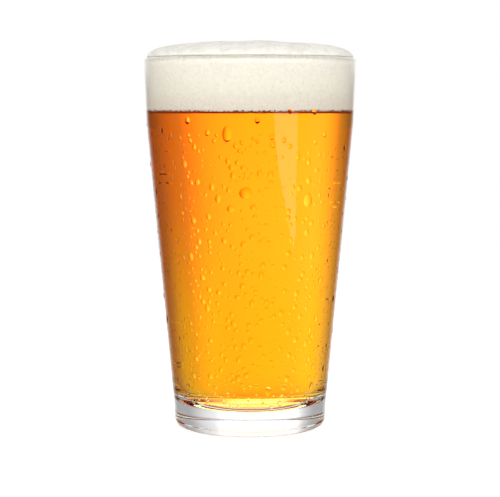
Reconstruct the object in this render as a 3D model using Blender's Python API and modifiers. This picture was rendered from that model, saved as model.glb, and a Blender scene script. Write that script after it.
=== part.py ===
"""A pint of golden beer in a tapered mixing glass.

Three solids share one frame, with +Z up and the origin at the middle of the foot:
the glass with its beads of water, the beer inside it, and the head of foam on top.
Lengths are in metres. The front of the glass faces -Y.
"""

import math
import random

import bmesh
import bpy
from mathutils import Matrix, Vector

MM = 0.001

# The outside of the glass: a foot, a long taper, then a steeper band up to the lip
GLASS_HEIGHT = 149.0 * MM
LIP_OUTER_RADIUS = 42.7 * MM
BAND_HEIGHT = 123.5 * MM
BAND_RADIUS = 41.7 * MM
FOOT_HEIGHT = 9.0 * MM
FOOT_TOP_RADIUS = 31.1 * MM
FOOT_RADIUS = 30.8 * MM
HEEL_ROUNDING = 2.8 * MM

# The lip is a half round, and the wall gets thicker towards the foot
LIP_ROUNDING = 1.2 * MM
WALL_AT_BAND = 3.3 * MM
WALL_AT_BOTTOM = 4.1 * MM
BOTTOM_THICKNESS = 9.0 * MM
INNER_CORNER_ROUNDING = 12.0 * MM

# The glass stands on a flat ring round a shallow hollow
RING_INNER_RADIUS = 24.5 * MM
HOLLOW_SLOPE = 2.2 * MM
HOLLOW_DEPTH = 2.8 * MM

# The beer, and the foam that swells over the lip of the glass
BEER_LEVEL = 128.0 * MM
FIT_GAP = 0.3 * MM
FOAM_RISE = 5.6 * MM
FOAM_SHOULDER_POWER = 4.0
FOAM_CROWN_POWER = 0.45
FOAM_PEAK = 0.9 * MM
FOAM_PEAK_RADIUS = 15.0 * MM
FOAM_LUMP = 0.35 * MM

# The beads of water on the outside, on the front and the sides
BEAD_COUNT = 150
BEAD_REACH = math.radians(105.0)
BEAD_LOW = 14.5 * MM
BEAD_HIGH = 126.0 * MM
BEAD_WIDTHS = (1.5 * MM, 2.9 * MM)
BEAD_TALLNESS = (1.0, 1.35)
BEAD_PROUD = 0.30
BEAD_SUNK = 0.35
BEAD_WANDER = 4.5 * MM
BEAD_CLEARANCE = 0.5 * MM
BEAD_SEED = 16
GOLDEN_TURN = math.pi * (3.0 - math.sqrt(5.0))
# The three large drops on the front: degrees round from the front, height, width and tallness
LARGE_DROPS = (
    (-12.2, 119.4 * MM, 3.8 * MM, 1.6),
    (-2.4, 96.9 * MM, 5.2 * MM, 0.85),
    (35.0, 93.8 * MM, 3.9 * MM, 1.4),
)

# How finely the round shapes are cut into faces
TURN_STEPS = 64
CORNER_STEPS = 4
INNER_CORNER_STEPS = 7
LIP_STEPS = 6
FOAM_RINGS = 12
BEAD_SIDES = 7
BEAD_RINGS = 5
MERGE_DISTANCE = 0.00001


def clear_scene():
    """Removes every object that the file starts with."""
    for thing in list(bpy.data.objects):
        bpy.data.objects.remove(thing, do_unlink=True)


def new_collection(name):
    """Makes a collection and links it to the scene."""
    collection = bpy.data.collections.new(name)
    bpy.context.scene.collection.children.link(collection)
    return collection


def clear_material(name, colour, ior, roughness):
    """A see-through material for glass or drink."""
    material = bpy.data.materials.new(name)
    material.use_nodes = True
    shader = material.node_tree.nodes["Principled BSDF"]
    shader.inputs["Base Color"].default_value = (*colour, 1.0)
    shader.inputs["Metallic"].default_value = 0.0
    shader.inputs["Roughness"].default_value = roughness
    shader.inputs["IOR"].default_value = ior
    shader.inputs["Transmission Weight"].default_value = 1.0
    return material


def foam_material():
    """The cream white of the head."""
    material = bpy.data.materials.new("cream foam")
    material.use_nodes = True
    shader = material.node_tree.nodes["Principled BSDF"]
    shader.inputs["Base Color"].default_value = (0.93, 0.89, 0.79, 1.0)
    shader.inputs["Metallic"].default_value = 0.0
    shader.inputs["Roughness"].default_value = 0.85
    return material


def arc(centre, radius, start, end, steps):
    """Points (radius out, height) on an arc, from start to end in degrees; 0 points outwards and 90 up."""
    points = []
    for step in range(steps + 1):
        angle = math.radians(start + (end - start) * step / steps)
        points.append((centre[0] + radius * math.cos(angle), centre[1] + radius * math.sin(angle)))
    return points


def between(low, high, share):
    """The value that lies at a share of the way from low to high."""
    return low + (high - low) * share


def outer_radius(height):
    """The radius of the outside of the glass at a height above its heel."""
    if height < FOOT_HEIGHT:
        return between(FOOT_RADIUS, FOOT_TOP_RADIUS, height / FOOT_HEIGHT)
    if height < BAND_HEIGHT:
        share = (height - FOOT_HEIGHT) / (BAND_HEIGHT - FOOT_HEIGHT)
        return between(FOOT_TOP_RADIUS, BAND_RADIUS, share)
    share = (height - BAND_HEIGHT) / (GLASS_HEIGHT - BAND_HEIGHT)
    return between(BAND_RADIUS, LIP_OUTER_RADIUS, share)


def inner_radius(height):
    """The radius of the inside of the glass at a height above the inner corner."""
    lip_wall = 2.0 * LIP_ROUNDING
    if height < BAND_HEIGHT:
        share = (height - BOTTOM_THICKNESS) / (BAND_HEIGHT - BOTTOM_THICKNESS)
        return outer_radius(height) - between(WALL_AT_BOTTOM, WALL_AT_BAND, share)
    share = (height - BAND_HEIGHT) / (GLASS_HEIGHT - LIP_ROUNDING - BAND_HEIGHT)
    return outer_radius(height) - between(WALL_AT_BAND, lip_wall, min(share, 1.0))


def inner_corner_centre():
    """The centre of the rounding between the inner bottom and the wall, as radius out and height."""
    top = BOTTOM_THICKNESS + INNER_CORNER_ROUNDING
    return (inner_radius(top) - INNER_CORNER_ROUNDING, top)


def lip_centre():
    """The centre of the lip's half round, as radius out and height."""
    height = GLASS_HEIGHT - LIP_ROUNDING
    return (outer_radius(height) - LIP_ROUNDING, height)


def glass_profile():
    """The cut through the glass, from the middle of its inner bottom over the lip to the underside."""
    heel_centre = (FOOT_RADIUS - HEEL_ROUNDING, HEEL_ROUNDING)
    hollow_edge = RING_INNER_RADIUS - HOLLOW_SLOPE
    profile = [(0.0, BOTTOM_THICKNESS)]
    profile += arc(inner_corner_centre(), INNER_CORNER_ROUNDING, -90.0, 0.0, INNER_CORNER_STEPS)
    profile += [(inner_radius(BAND_HEIGHT), BAND_HEIGHT)]
    profile += arc(lip_centre(), LIP_ROUNDING, 180.0, 0.0, LIP_STEPS)
    profile += [(BAND_RADIUS, BAND_HEIGHT), (FOOT_TOP_RADIUS, FOOT_HEIGHT)]
    profile += arc(heel_centre, HEEL_ROUNDING, 0.0, -90.0, CORNER_STEPS)
    profile += [(RING_INNER_RADIUS, 0.0), (hollow_edge, HOLLOW_DEPTH / 2.0), (0.0, HOLLOW_DEPTH)]
    return profile


def beer_profile():
    """The cut through the beer, from the middle of its level down the wall to the bottom."""
    corner = INNER_CORNER_ROUNDING - FIT_GAP
    return [
        (0.0, BEER_LEVEL),
        (inner_radius(BEER_LEVEL) - FIT_GAP, BEER_LEVEL),
        (inner_radius(BAND_HEIGHT) - FIT_GAP, BAND_HEIGHT),
        *arc(inner_corner_centre(), corner, 0.0, -90.0, INNER_CORNER_STEPS),
        (0.0, BOTTOM_THICKNESS + FIT_GAP),
    ]


def foam_height(radius, edge):
    """The height of the foam's smooth dome above its own edge."""
    share = min(radius / edge, 1.0)
    dome = FOAM_RISE * (1.0 - share**FOAM_SHOULDER_POWER) ** FOAM_CROWN_POWER
    return dome + FOAM_PEAK * math.exp(-((radius / FOAM_PEAK_RADIUS) ** 2))


def foam_profile():
    """The cut through the head, from the top of its dome round the lip and down the wall to the beer."""
    edge = lip_centre()[0]
    floor = BEER_LEVEL + FIT_GAP
    profile = []
    for ring in range(FOAM_RINGS):
        radius = edge * math.sin(math.pi / 2.0 * ring / FOAM_RINGS)
        profile.append((radius, GLASS_HEIGHT + FIT_GAP + foam_height(radius, edge)))
    profile += arc(lip_centre(), LIP_ROUNDING + FIT_GAP, 90.0, 180.0, CORNER_STEPS)
    return profile + [(inner_radius(floor) - FIT_GAP, floor), (0.0, floor)]


def turned(name, profile, material, collection):
    """Turns a profile of (radius, height) points round the Z axis with a Screw modifier."""
    mesh = bpy.data.meshes.new(name)
    edges = [(i, i + 1) for i in range(len(profile) - 1)]
    mesh.from_pydata([(radius, 0.0, height) for radius, height in profile], edges, [])
    mesh.materials.append(material)
    solid = bpy.data.objects.new(name, mesh)
    collection.objects.link(solid)
    screw = solid.modifiers.new("turn", "SCREW")
    screw.axis = "Z"
    screw.angle = math.tau
    screw.steps = TURN_STEPS
    screw.render_steps = TURN_STEPS
    screw.use_merge_vertices = True
    screw.merge_threshold = MERGE_DISTANCE
    screw.use_smooth_shade = True
    return solid


def baked(solid):
    """Applies an object's modifiers to its mesh."""
    graph = bpy.context.evaluated_depsgraph_get()
    mesh = bpy.data.meshes.new_from_object(solid.evaluated_get(graph))
    solid.modifiers.clear()
    old = solid.data
    solid.data = mesh
    bpy.data.meshes.remove(old)
    mesh.name = solid.name
    return solid


def bead_places():
    """Where the beads sit: (angle round from the front, height, width, tallness), spread on a spiral."""
    draw = random.Random(BEAD_SEED)
    places = [(math.radians(degrees), *rest) for degrees, *rest in LARGE_DROPS]
    for index in range(BEAD_COUNT):
        share = (index + 0.5) / BEAD_COUNT
        height = between(BEAD_LOW, BEAD_HIGH, share) + draw.uniform(-1.0, 1.0) * BEAD_WANDER
        angle = index * GOLDEN_TURN + draw.uniform(-1.0, 1.0) * BEAD_WANDER / outer_radius(height)
        width = between(*BEAD_WIDTHS, draw.random() ** 2)
        bead = (angle, height, width, draw.uniform(*BEAD_TALLNESS))
        on_front = abs(math.remainder(angle, math.tau)) < BEAD_REACH
        if on_front and BEAD_LOW < height < BEAD_HIGH and all(far_apart(bead, other) for other in places):
            places.append(bead)
    return places


def far_apart(bead, other):
    """True if two beads keep clear of each other."""
    turn = math.remainder(bead[0] - other[0], math.tau)
    apart = math.hypot(turn * outer_radius(bead[1]), bead[1] - other[1])
    reach = sum(width * max(tallness, 1.0) / 2.0 for _, _, width, tallness in (bead, other))
    return apart > reach + BEAD_CLEARANCE


def add_bead(index, place, collection):
    """Adds one bead: a low ball that stands out of the wall and reaches into it."""
    angle, height, width, tallness = place
    shape = bmesh.new()
    bmesh.ops.create_uvsphere(shape, u_segments=BEAD_SIDES, v_segments=BEAD_RINGS, radius=1.0)
    mesh = bpy.data.meshes.new(f"bead {index}")
    shape.to_mesh(mesh)
    shape.free()
    depth = width * BEAD_PROUD / (1.0 - BEAD_SUNK)
    size = Matrix.Diagonal((width / 2.0, width / 2.0 * tallness, depth, 1.0))
    slope = math.atan2(outer_radius(height + MM) - outer_radius(height - MM), 2.0 * MM)
    outward = Vector((math.sin(angle), -math.cos(angle), -math.tan(slope))).normalized()
    across = Vector((math.cos(angle), math.sin(angle), 0.0))
    up = outward.cross(across)
    turn = Matrix((across, up, outward)).transposed().to_4x4()
    radius = outer_radius(height)
    on_wall = Vector((radius * math.sin(angle), -radius * math.cos(angle), height))
    bead = bpy.data.objects.new(mesh.name, mesh)
    collection.objects.link(bead)
    bead.matrix_world = Matrix.Translation(on_wall - outward * depth * BEAD_SUNK) @ turn @ size
    return bead


def fuse_beads(glass, beads):
    """Joins all the beads to the glass in one union, then removes them."""
    join = glass.modifiers.new("beads", "BOOLEAN")
    join.operation = "UNION"
    join.operand_type = "COLLECTION"
    join.collection = beads
    join.solver = "MANIFOLD"
    bpy.context.view_layer.update()
    baked(glass)
    for bead in list(beads.objects):
        bpy.data.objects.remove(bead, do_unlink=True)
    bpy.data.collections.remove(beads)


def roughen_dome(foam):
    """Lifts and lowers the foam's top by slow waves, so that the dome is uneven as poured foam is."""
    edge = lip_centre()[0]
    for vertex in foam.data.vertices:
        x, y, z = vertex.co
        if z <= GLASS_HEIGHT + FIT_GAP + MERGE_DISTANCE:
            continue
        fade = 1.0 - (math.hypot(x, y) / edge) ** 2
        waves = math.sin(x / (6.1 * MM) + 0.8) * math.cos(y / (8.3 * MM) - 0.5)
        waves += 0.6 * math.sin((x + 1.7 * y) / (9.7 * MM))
        vertex.co.z = z + FOAM_LUMP * fade * waves


def smooth_round_faces(solid):
    """Shades a turned piece smooth, with its sharp corners kept."""
    solid.data.shade_smooth()
    solid.data.set_sharp_from_angle(angle=math.radians(40.0))


def build():
    """Builds the glass, the beer and the foam."""
    clear_scene()
    pint = new_collection("pint of beer")
    beads = new_collection("beads")
    clear_glass = clear_material("clear glass", (0.98, 0.99, 0.98), 1.52, 0.02)
    golden_beer = clear_material("golden beer", (0.96, 0.56, 0.05), 1.34, 0.0)

    glass = baked(turned("glass", glass_profile(), clear_glass, pint))
    for index, place in enumerate(bead_places()):
        add_bead(index, place, beads)
    fuse_beads(glass, beads)

    beer = baked(turned("beer", beer_profile(), golden_beer, pint))
    foam = baked(turned("foam", foam_profile(), foam_material(), pint))
    roughen_dome(foam)
    for solid in (glass, beer, foam):
        smooth_round_faces(solid)


build()
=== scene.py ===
"""The looks of a pint of golden beer in a tapered mixing glass.

Lengths are in metres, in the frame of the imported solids: +Z up, the origin at the middle of the
foot and the front towards -Y. The glass, the beer and the head are turned again as fine meshes
from the same sizes as their solids, and the water on the outside is a piece of its own.
"""

import logging
import math
import random
from dataclasses import dataclass, field
from enum import Enum

import bpy
import numpy as np
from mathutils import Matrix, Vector


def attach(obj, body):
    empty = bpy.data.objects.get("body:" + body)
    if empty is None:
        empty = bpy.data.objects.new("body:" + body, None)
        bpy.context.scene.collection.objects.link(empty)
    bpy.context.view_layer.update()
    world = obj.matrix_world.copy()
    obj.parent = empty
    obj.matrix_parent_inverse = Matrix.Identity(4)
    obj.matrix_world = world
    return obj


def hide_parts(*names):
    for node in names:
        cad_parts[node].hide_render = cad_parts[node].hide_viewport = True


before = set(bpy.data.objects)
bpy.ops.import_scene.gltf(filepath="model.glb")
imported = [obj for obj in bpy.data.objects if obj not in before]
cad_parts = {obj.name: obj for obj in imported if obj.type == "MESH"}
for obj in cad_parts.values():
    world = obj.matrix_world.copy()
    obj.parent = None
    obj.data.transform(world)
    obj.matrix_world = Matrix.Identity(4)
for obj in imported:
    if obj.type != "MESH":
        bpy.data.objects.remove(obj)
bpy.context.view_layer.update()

log = logging.getLogger("pint")

MM = 0.001
BODY = "root"

# A Fresnel share above this is total reflection
TOTAL = 0.99

Profile = list[tuple[float, float]]
Colour = tuple[float, float, float]
Span = tuple[float, float]


class Slot(Enum):
    """The record's material slots."""

    GLASS = "clear_glass"
    BEER = "golden_beer"
    FOAM = "cream_foam"


class Ray(Enum):
    """The kinds of ray that a studio object may be hidden from."""

    CAMERA = "visible_camera"
    DIFFUSE = "visible_diffuse"
    GLOSSY = "visible_glossy"
    TRANSMISSION = "visible_transmission"
    SHADOW = "visible_shadow"
    SCATTER = "visible_volume_scatter"


class Bench:
    """Adds nodes to one node tree and joins them."""

    def __init__(self, tree: bpy.types.NodeTree) -> None:
        """Takes the tree that it works on.

        Args:
            tree: the node tree of a material, a world or a group.
        """
        self.tree = tree

    def add(self, kind: str, inputs: dict | None = None, **settings: object) -> bpy.types.Node:
        """Adds a node.

        Args:
            kind: the node's type name, such as "ShaderNodeMath".
            inputs: values, or output sockets to join, by the input's name or number.
            settings: the node's own settings, such as operation.

        Returns:
            The new node.
        """
        node = self.tree.nodes.new(kind)
        for name, value in settings.items():
            setattr(node, name, value)
        for name, value in (inputs or {}).items():
            socket = node.inputs[name]
            if isinstance(value, bpy.types.NodeSocket):
                self.tree.links.new(value, socket)
            else:
                socket.default_value = value
        return node

    def math(self, operation: str, *values: object, clamp: bool = False) -> bpy.types.NodeSocket:
        """Adds a Math node.

        Args:
            operation: the node's operation, such as "MULTIPLY".
            values: its numbers or the sockets that feed it, in order.
            clamp: True to keep the result between 0 and 1.

        Returns:
            The result's socket.
        """
        node = self.add("ShaderNodeMath", dict(enumerate(values)), operation=operation)
        node.use_clamp = clamp
        return node.outputs["Value"]

    def product(self, first: object, *others: object) -> bpy.types.NodeSocket:
        """Multiplies numbers or sockets together.

        Args:
            first: the first number or socket.
            others: the rest of them.

        Returns:
            The product's socket.
        """
        result = first
        for other in others:
            result = self.math("MULTIPLY", result, other)
        return result

    def rest(self, share: object) -> bpy.types.NodeSocket:
        """Adds what a share leaves of 1."""
        return self.math("SUBTRACT", 1.0, share)

    def ease(self, value: bpy.types.NodeSocket, start: float, end: float,
             low: float = 0.0, high: float = 1.0) -> bpy.types.NodeSocket:
        """Adds a Map Range node that eases from low, at start, to high, at end.

        Args:
            value: what it reads.
            start: where the result is low.
            end: where the result is high.
            low: the result at start and before it.
            high: the result at end and past it.

        Returns:
            The result's socket.
        """
        numbers = {"Value": value, "From Min": start, "From Max": end, "To Min": low, "To Max": high}
        node = self.add("ShaderNodeMapRange", numbers, interpolation_type="SMOOTHSTEP")
        return node.outputs["Result"]

    def noise(self, where: bpy.types.NodeSocket, grain: float, detail: float = 2.0) -> bpy.types.NodeSocket:
        """Adds a Noise Texture.

        Args:
            where: the coordinates that it reads, in metres.
            grain: the size of its patches, in metres.
            detail: how many finer layers it has.

        Returns:
            The socket of its value, from 0 to 1.
        """
        numbers = {"Vector": where, "Scale": 1.0 / grain, "Detail": detail}
        return self.add("ShaderNodeTexNoise", numbers).outputs["Fac"]

    def mirrored_ray(self) -> bpy.types.NodeSocket:
        """Adds what is 1 for rays that a gloss throws back, and 0 for those that it lets through."""
        path = self.add("ShaderNodeLightPath").outputs
        return self.math("MULTIPLY", path["Is Glossy Ray"], path["Is Reflection Ray"])

    def total_reflection(self, ior: float) -> bpy.types.NodeSocket:
        """Adds what is 1 where light can't leave a clear thing of this index, and 0 elsewhere."""
        mirror = self.add("ShaderNodeFresnel", {"IOR": ior}).outputs["Fac"]
        return self.math("GREATER_THAN", mirror, TOTAL)

    def blend(self, share: object, first: object, second: object) -> bpy.types.NodeSocket:
        """Adds a Mix node for colours.

        Args:
            share: how much of the second there is, a number or a socket.
            first: a colour or a socket.
            second: a colour or a socket.

        Returns:
            The mixed colour's socket.
        """
        node = self.add("ShaderNodeMix", data_type="RGBA")
        for index, value in ((0, share), (6, first), (7, second)):
            if isinstance(value, bpy.types.NodeSocket):
                self.tree.links.new(value, node.inputs[index])
            else:
                node.inputs[index].default_value = value if index == 0 else (*value, 1.0)
        return node.outputs[2]


def new_material(name: str) -> tuple[bpy.types.Material, Bench, bpy.types.Node]:
    """Makes a material with a Principled BSDF.

    Args:
        name: the material's name.

    Returns:
        The material, a bench for its nodes and the Principled BSDF.
    """
    material = bpy.data.materials.new(name)
    material.use_nodes = True
    return material, Bench(material.node_tree), material.node_tree.nodes["Principled BSDF"]


def closed_mesh(name: str, points: np.ndarray, faces: list[tuple[int, ...]]) -> bpy.types.Object:
    """Makes a smooth-shaded mesh object in the scene.

    Args:
        name: the object's name.
        points: its corners, one row each.
        faces: the corners of each face, by number.

    Returns:
        The object.
    """
    mesh = bpy.data.meshes.new(name)
    mesh.from_pydata(points.tolist(), [], faces)
    mesh.shade_smooth()
    thing = bpy.data.objects.new(name, mesh)
    bpy.context.scene.collection.objects.link(thing)
    return thing


def arc(centre: tuple[float, float], radius: float, start: float, end: float, steps: int) -> Profile:
    """Points on an arc of a cut.

    Args:
        centre: the arc's centre, as radius out and height.
        radius: the arc's own radius.
        start: the first point's angle in degrees, where 0 points outwards and 90 up.
        end: the last point's angle in degrees.
        steps: how many stretches it has.

    Returns:
        The points, as radius out and height.
    """
    turns = np.radians(np.linspace(start, end, steps + 1))
    return [(centre[0] + radius * math.cos(turn), centre[1] + radius * math.sin(turn)) for turn in turns]


def stretch(start: tuple[float, float], end: tuple[float, float], steps: int) -> Profile:
    """Points on a straight stretch of a cut, without its first one.

    Args:
        start: where it starts, as radius out and height.
        end: where it ends.
        steps: how many stretches it has.

    Returns:
        The points, as radius out and height.
    """
    shares = [(step + 1) / steps for step in range(steps)]
    return [(start[0] + (end[0] - start[0]) * s, start[1] + (end[1] - start[1]) * s) for s in shares]


@dataclass
class Lathe:
    """Turns a cut round Z into a closed mesh. The cut's first and last points lie on Z."""

    segments: int

    def turned(self, profile: Profile) -> np.ndarray:
        """Turns a cut.

        Args:
            profile: the cut's points, as radius out and height.

        Returns:
            The points as rings: cut point, segment, coordinate.
        """
        cut = np.array(profile)
        turns = np.arange(self.segments) * math.tau / self.segments
        round_z = np.stack((np.cos(turns), np.sin(turns)), axis=1)
        flat = cut[:, :1, None] * round_z[None, :, :]
        heights = np.broadcast_to(cut[:, 1, None, None], (len(cut), self.segments, 1))
        return np.concatenate((flat, heights), axis=2)

    def solid(self, name: str, rings: np.ndarray) -> bpy.types.Object:
        """Closes rings into a solid, with one corner at each end on Z.

        Args:
            name: the object's name.
            rings: the rings, of which the first and last have no width.

        Returns:
            The object.
        """
        count = self.segments
        inner = rings[1:-1].reshape(-1, 3)
        ends = np.array([rings[0].mean(axis=0), rings[-1].mean(axis=0)])
        first, last = len(inner), len(inner) + 1
        faces = []
        for ring in range(len(rings) - 3):
            for here in range(count):
                there = (here + 1) % count
                low, high = ring * count, (ring + 1) * count
                faces.append((low + here, high + here, high + there, low + there))
        bottom = (len(rings) - 3) * count
        for here in range(count):
            there = (here + 1) % count
            faces.append((first, here, there))
            faces.append((last, bottom + there, bottom + here))
        return closed_mesh(name, np.concatenate((inner, ends)), faces)


@dataclass(frozen=True)
class GlassShape:
    """The outline of the glass: a foot, a long taper, then a steeper band up to the lip."""

    height: float = 149.0 * MM
    band_height: float = 123.5 * MM
    foot_height: float = 9.0 * MM
    bottom: float = 9.0 * MM
    outer_heights: tuple[float, ...] = (0.0, 9.0 * MM, 123.5 * MM, 149.0 * MM)
    outer_radii: tuple[float, ...] = (30.8 * MM, 31.1 * MM, 41.7 * MM, 42.7 * MM)
    wall_heights: tuple[float, ...] = (9.0 * MM, 123.5 * MM, 147.8 * MM)
    walls: tuple[float, ...] = (4.1 * MM, 3.3 * MM, 2.4 * MM)
    lip_rounding: float = 1.2 * MM
    heel_rounding: float = 2.8 * MM
    corner_rounding: float = 12.0 * MM
    ring_inner_radius: float = 24.5 * MM
    hollow_slope: float = 2.2 * MM
    hollow_depth: float = 2.8 * MM
    bottom_steps: int = 6

    def outer_radius(self, height: float) -> float:
        """The radius of the outside at a height."""
        return float(np.interp(height, self.outer_heights, self.outer_radii))

    def inner_radius(self, height: float) -> float:
        """The radius of the inside at a height."""
        return self.outer_radius(height) - float(np.interp(height, self.wall_heights, self.walls))

    def lip_centre(self) -> tuple[float, float]:
        """The centre of the lip's half round, as radius out and height."""
        height = self.height - self.lip_rounding
        return (self.outer_radius(height) - self.lip_rounding, height)

    def bowl(self, level: float, grow: float, corner_steps: int, wall_steps: int) -> Profile:
        """The cut of the inside, from its middle up the wall.

        Args:
            level: the height at which it ends.
            grow: how far it lies outside the inner face, in the glass.
            corner_steps: stretches round the inner corner.
            wall_steps: stretches up the wall.

        Returns:
            The points, as radius out and height.
        """
        rounding = self.corner_rounding
        top = self.bottom + rounding
        centre = (self.inner_radius(top) - rounding, top)
        cut = [(0.0, self.bottom - grow)]
        cut += stretch(cut[0], (centre[0], self.bottom - grow), self.bottom_steps)
        cut += arc(centre, rounding + grow, -90.0, 0.0, corner_steps)[1:]
        for height in np.linspace(top, level, wall_steps + 1)[1:]:
            cut.append((self.inner_radius(height) + grow, float(height)))
        return cut


@dataclass(frozen=True)
class ClearGlass:
    """Clear polished glass. Smears too faint to see alone make its gloss uneven."""

    ior: float = 1.52
    smear_grain: float = 14.0 * MM
    smear_depth: float = 0.02 * MM
    smear_strength: float = 0.12
    tint: Colour = (0.985, 0.987, 0.985)

    def material(self) -> bpy.types.Material:
        """Makes the finish of the faces that meet the air.

        Light that has been through the beads or the drink finds no gloss on them but total reflection.

        Returns:
            The material.
        """
        material, bench, shader = new_material("clear glass")
        where = bench.add("ShaderNodeTexCoord").outputs["Object"]
        smears = {"Strength": self.smear_strength, "Distance": self.smear_depth,
                  "Height": bench.noise(where, self.smear_grain)}
        bump = bench.add("ShaderNodeBump", smears)
        self.make_clear(shader)
        seen = bench.add("ShaderNodeLightPath").outputs["Is Camera Ray"]
        gloss = bench.math("MAXIMUM", seen, bench.total_reflection(self.ior))
        bench.tree.links.new(gloss, shader.inputs["Specular Tint"])
        bench.tree.links.new(bump.outputs["Normal"], shader.inputs["Normal"])
        return material

    def wetted(self) -> bpy.types.Material:
        """Makes the finish of the inner faces, which the drink touches: only total reflection is left."""
        material, bench, shader = new_material("wetted glass")
        self.make_clear(shader)
        bench.tree.links.new(bench.total_reflection(self.ior), shader.inputs["Specular Tint"])
        return material

    def make_clear(self, shader: bpy.types.Node) -> None:
        """Sets what both finishes share."""
        shader.inputs["Base Color"].default_value = (*self.tint, 1.0)
        shader.inputs["Roughness"].default_value = 0.0
        shader.inputs["IOR"].default_value = self.ior
        shader.inputs["Transmission Weight"].default_value = 1.0


@dataclass(frozen=True)
class GoldenBeer:
    """Clear golden beer, which takes most of the blue and some of the green from the light.

    The taken amounts are per metre. Its surface has no gloss, because it lies inside the wall.
    """

    ior: float = 1.34
    density: float = 90.0
    taken_red: float = 1.5
    taken_green: float = 26.5
    taken_blue: float = 82.0

    def material(self) -> bpy.types.Material:
        """Makes the finish."""
        material, bench, shader = new_material("golden beer")
        taken = (self.taken_red, self.taken_green, self.taken_blue)
        left = tuple(1.0 - value / self.density for value in taken)
        numbers = {"Color": (*left, 1.0), "Density": self.density}
        volume = bench.add("ShaderNodeVolumeAbsorption", numbers)
        output = bench.tree.nodes["Material Output"]
        bench.tree.links.new(volume.outputs["Volume"], output.inputs["Volume"])
        shader.inputs["Base Color"].default_value = (1.0, 1.0, 1.0, 1.0)
        shader.inputs["Roughness"].default_value = 0.0
        shader.inputs["IOR"].default_value = self.ior
        shader.inputs["Specular Tint"].default_value = (0.0, 0.0, 0.0, 1.0)
        shader.inputs["Transmission Weight"].default_value = 1.0
        return material


@dataclass(frozen=True)
class ClearWater:
    """The water of the beads."""

    ior: float = 1.33

    def material(self) -> bpy.types.Material:
        """Makes the finish."""
        material, bench, shader = new_material("clear water")
        bench.tree.links.new(bench.total_reflection(self.ior), shader.inputs["Specular Tint"])
        shader.inputs["Base Color"].default_value = (1.0, 1.0, 1.0, 1.0)
        shader.inputs["Roughness"].default_value = 0.0
        shader.inputs["IOR"].default_value = self.ior
        shader.inputs["Transmission Weight"].default_value = 1.0
        return material


@dataclass(frozen=True)
class BubbleGrain:
    """The fine bubbles in the skin of the foam, as a node group."""

    name: str = "bubble grain"
    wide_share: float = 0.37
    dip: float = 0.5
    tone_share: float = 0.5

    def group(self) -> bpy.types.NodeTree:
        """Makes the group once, and gives the same one after that."""
        tree = bpy.data.node_groups.get(self.name)
        if tree is not None:
            return tree
        tree = bpy.data.node_groups.new(self.name, "ShaderNodeTree")
        sockets = (
            ("Where", "INPUT", "NodeSocketVector"),
            ("Bubbles per metre", "INPUT", "NodeSocketFloat"),
            ("Height", "OUTPUT", "NodeSocketFloat"),
            ("Tone", "OUTPUT", "NodeSocketFloat"),
        )
        for name, side, kind in sockets:
            tree.interface.new_socket(name=name, in_out=side, socket_type=kind)
        bench = Bench(tree)
        given = bench.add("NodeGroupInput").outputs
        fine = {"Vector": given["Where"], "Scale": given["Bubbles per metre"]}
        cells = bench.add("ShaderNodeTexVoronoi", fine, feature="F1")
        wide_scale = bench.product(given["Bubbles per metre"], self.wide_share)
        broad = {"Vector": given["Where"], "Scale": wide_scale}
        wide = bench.add("ShaderNodeTexVoronoi", broad, feature="F1")
        near = bench.math("ADD", cells.outputs["Distance"], wide.outputs["Distance"])
        height = bench.math("MULTIPLY_ADD", near, -self.dip, 1.0)
        tint = bench.add("ShaderNodeSeparateColor", {"Color": cells.outputs["Color"]}).outputs["Red"]
        raised = bench.product(height, 1.0 - self.tone_share)
        tone = bench.math("MULTIPLY_ADD", tint, self.tone_share, raised)
        bench.add("NodeGroupOutput", {"Height": height, "Tone": tone})
        return tree


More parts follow.
